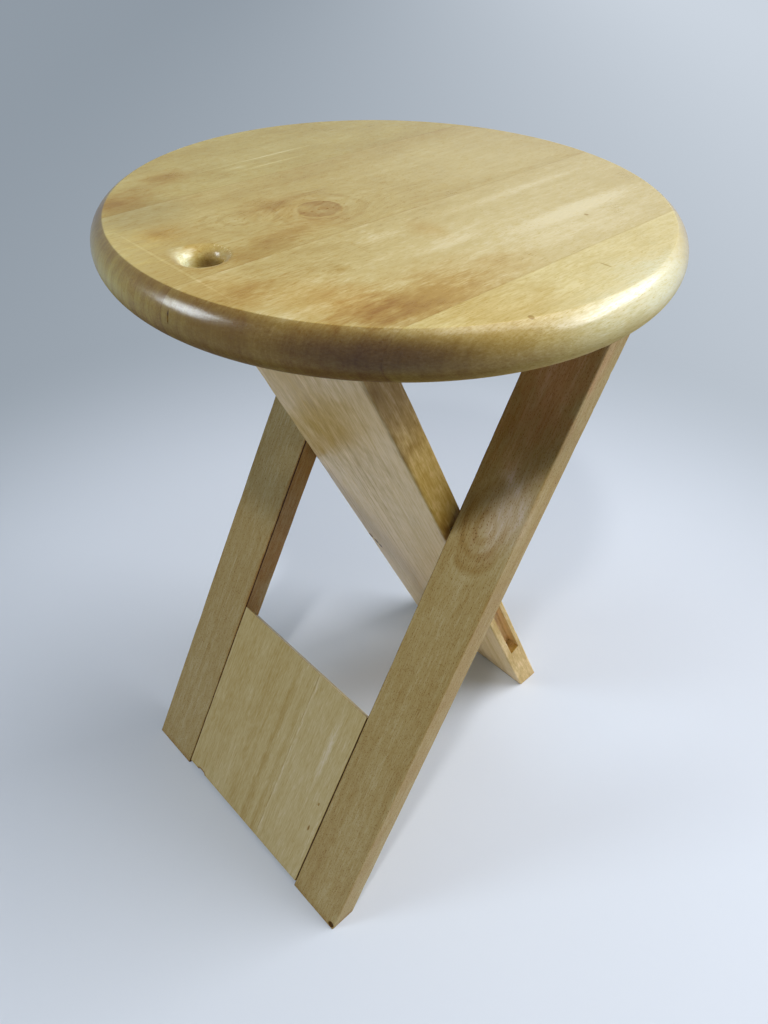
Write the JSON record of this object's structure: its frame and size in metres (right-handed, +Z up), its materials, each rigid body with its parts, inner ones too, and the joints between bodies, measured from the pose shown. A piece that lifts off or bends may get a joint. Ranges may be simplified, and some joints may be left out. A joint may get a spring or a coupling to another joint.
{
  "type": "folding stool",
  "caption": "Round-seated wooden folding stool on crossing legs that are hinged under the seat and fold flat against it, with a finger hole for carrying and hanging.",
  "frame": {"origin": "on the floor, straight under the centre of the round seat, with the stool open", "axes": "+Z up, +X across the stool along the hinge lines, -Y to the front where the finger hole is and the outer frame stands"},
  "size_m": [0.315, 0.315, 0.46],
  "materials": {
    "seat_wood": "satin-gloss clear varnish",
    "frame_wood": "satin clear varnish",
    "panel_wood": "satin clear varnish",
    "leg_wood": "satin clear varnish",
    "dowel_wood": "bare",
    "bracket_steel": "zinc plated",
    "screw_steel": "zinc plated",
    "pin_steel": "bright drawn"
  },
  "bodies": {
    "seat": {"seat_board_1": "seat_wood", "seat_board_2": "seat_wood", "seat_board_3": "seat_wood", "seat_board_4": "seat_wood", "stile_bracket_left": "bracket_steel", "stile_bracket_right": "bracket_steel", "leg_bracket_left": "bracket_steel", "leg_bracket_right": "bracket_steel", "bracket_screws": "screw_steel"},
    "outer_frame": {"left_stile": "frame_wood", "right_stile": "frame_wood", "panel_board_left": "panel_wood", "panel_board_right": "panel_wood", "panel_dowels": "dowel_wood", "slide_pin_left": "pin_steel", "slide_pin_right": "pin_steel", "stile_pivot_left": "pin_steel", "stile_pivot_right": "pin_steel"},
    "inner_leg": {"leg_board_left": "leg_wood", "leg_board_right": "leg_wood", "leg_pivot_left": "pin_steel", "leg_pivot_right": "pin_steel"}
  },
  "joints": [
    {"name": "frame_fold", "type": "hinge", "parent": "seat", "child": "outer_frame", "pos_m": [0, 0.0805, 0.4225], "axis": [1, 0, 0], "range_deg": [0, 118]},
    {"name": "leg_fold", "type": "hinge", "parent": "seat", "child": "inner_leg", "pos_m": [0, -0.078, 0.4225], "axis": [1, 0, 0], "range_deg": [0, 63.8]}
  ],
  "couplings": [
    {"joint": "leg_fold", "follows": "frame_fold", "ratio": 0.54068}
  ]
}
